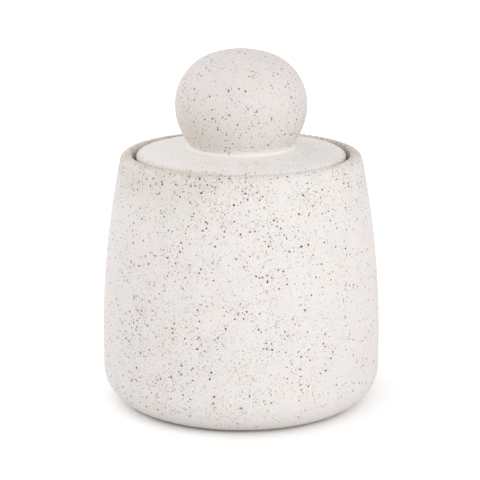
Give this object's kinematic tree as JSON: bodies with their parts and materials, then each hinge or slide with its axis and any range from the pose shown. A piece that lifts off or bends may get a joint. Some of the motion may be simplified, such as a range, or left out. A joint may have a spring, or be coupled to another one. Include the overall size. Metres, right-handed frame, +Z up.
{
  "type": "lidded jar",
  "caption": "Round tapering stoneware jar with a drop-in lid that rests on a ledge inside the mouth and lifts straight off by its large ball knob.",
  "frame": {"origin": "centre of the foot, on the plane that the jar stands on", "axes": "+Z up along the jar's turning axis, towards the knob; the shape is round about Z, so X and Y may point any way"},
  "size_m": [0.11, 0.11, 0.1397],
  "materials": {
    "jar_glaze": "matte off-white glaze with dark iron specks",
    "lid_glaze": "matte off-white glaze, thicker and paler, with few specks",
    "knob_glaze": "matte off-white glaze with fine iron specks"
  },
  "bodies": {
    "jar": {"jar_body": "jar_glaze"},
    "lid": {"lid": "lid_glaze", "knob": "knob_glaze"}
  },
  "joints": [
    {"name": "lid_lift", "type": "slide", "parent": "jar", "child": "lid", "axis": [0, 0, 1], "range_m": [0, 0.06]}
  ]
}
